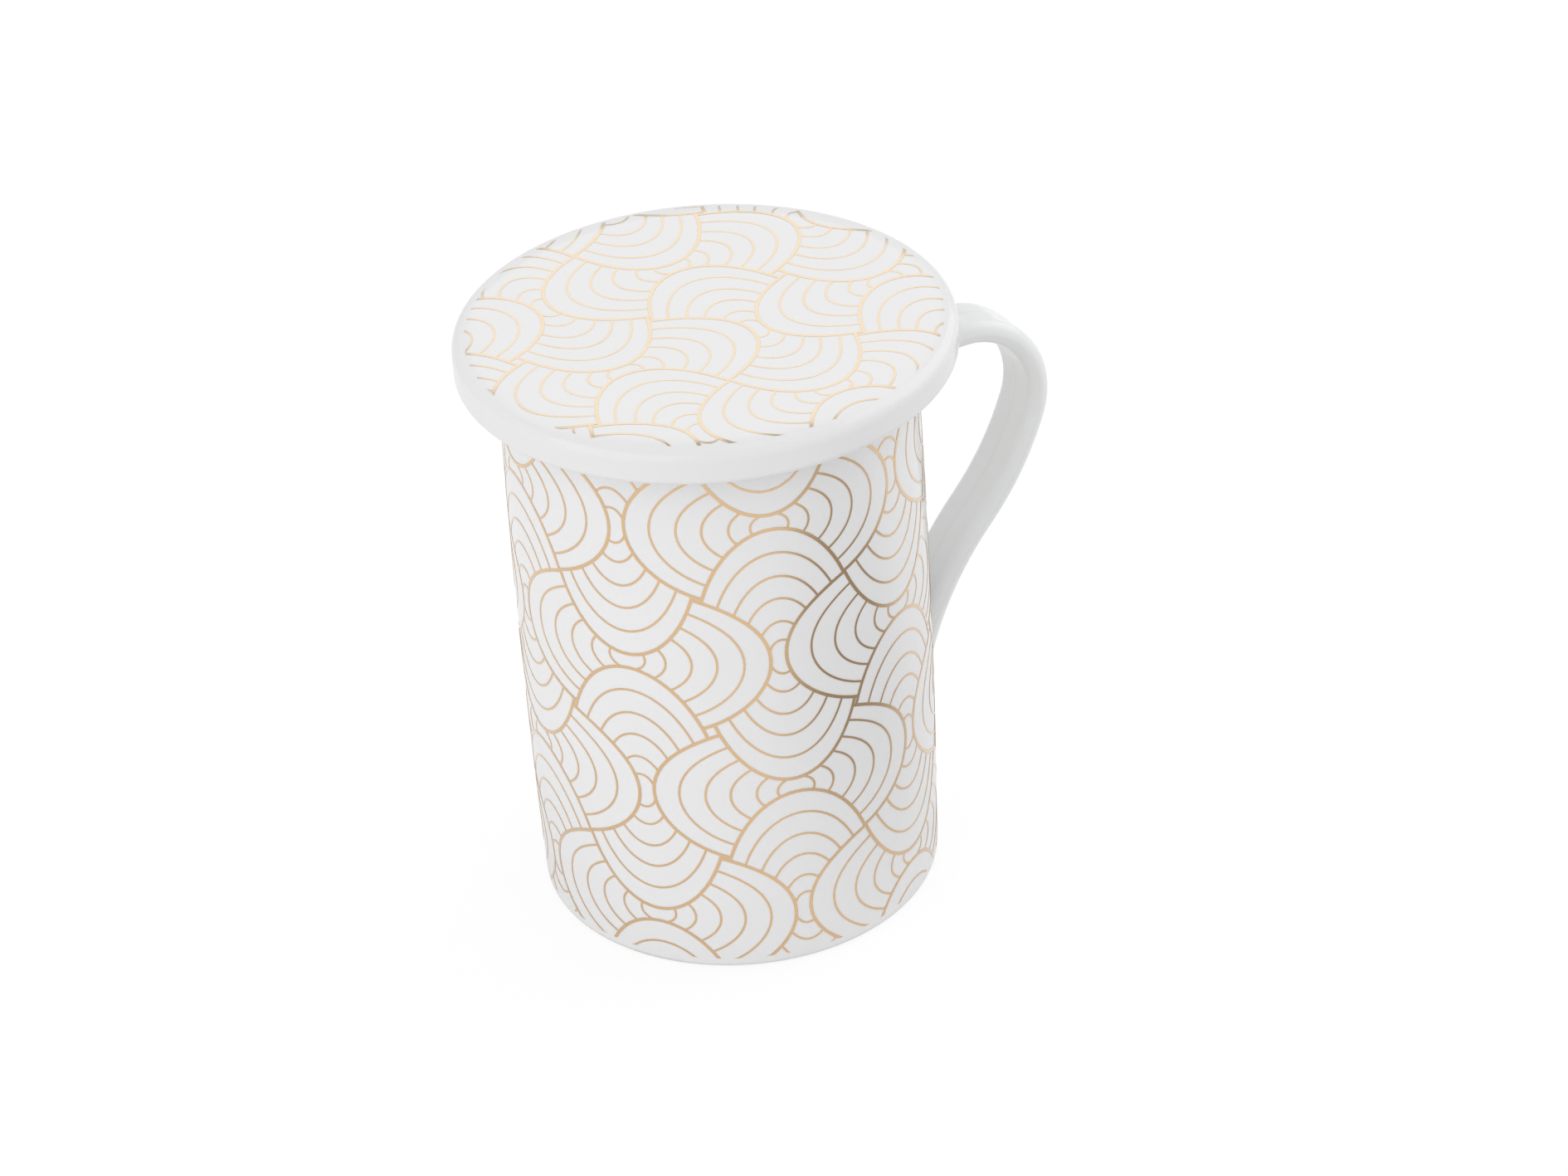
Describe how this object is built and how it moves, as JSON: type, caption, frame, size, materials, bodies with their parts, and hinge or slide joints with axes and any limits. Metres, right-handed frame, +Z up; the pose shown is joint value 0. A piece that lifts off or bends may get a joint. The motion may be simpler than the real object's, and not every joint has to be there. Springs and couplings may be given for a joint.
{
  "type": "lidded tea mug with infuser",
  "caption": "Straight porcelain tea mug with a bowed strap handle, a wide flat lid that lifts off and a slotted steel infuser basket that hangs on the rim.",
  "frame": {"origin": "centre of the foot ring, on the surface the mug stands on", "axes": "+Z up along the cup's axis, +X towards the handle"},
  "size_m": [0.114, 0.09, 0.1159],
  "materials": {
    "cup_glaze": "clear gloss glaze with printed gold lines",
    "handle_glaze": "clear gloss glaze",
    "lid_glaze": "clear gloss glaze with printed gold lines",
    "infuser_steel": "satin stainless steel",
    "gold_print": "thin burnished gold lustre"
  },
  "bodies": {
    "mug": {"mug_cup": "cup_glaze", "mug_handle": "handle_glaze"},
    "infuser": {"infuser_rim": "infuser_steel", "infuser_wall": "infuser_steel", "infuser_base": "infuser_steel"},
    "lid": {"mug_lid": "lid_glaze"}
  },
  "joints": [
    {"name": "infuser_lift", "type": "slide", "parent": "mug", "child": "infuser", "axis": [0, 0, 1], "range_m": [0, 0.08]},
    {"name": "lid_lift", "type": "slide", "parent": "infuser", "child": "lid", "axis": [0, 0, 1], "range_m": [0, 0.05]}
  ]
}
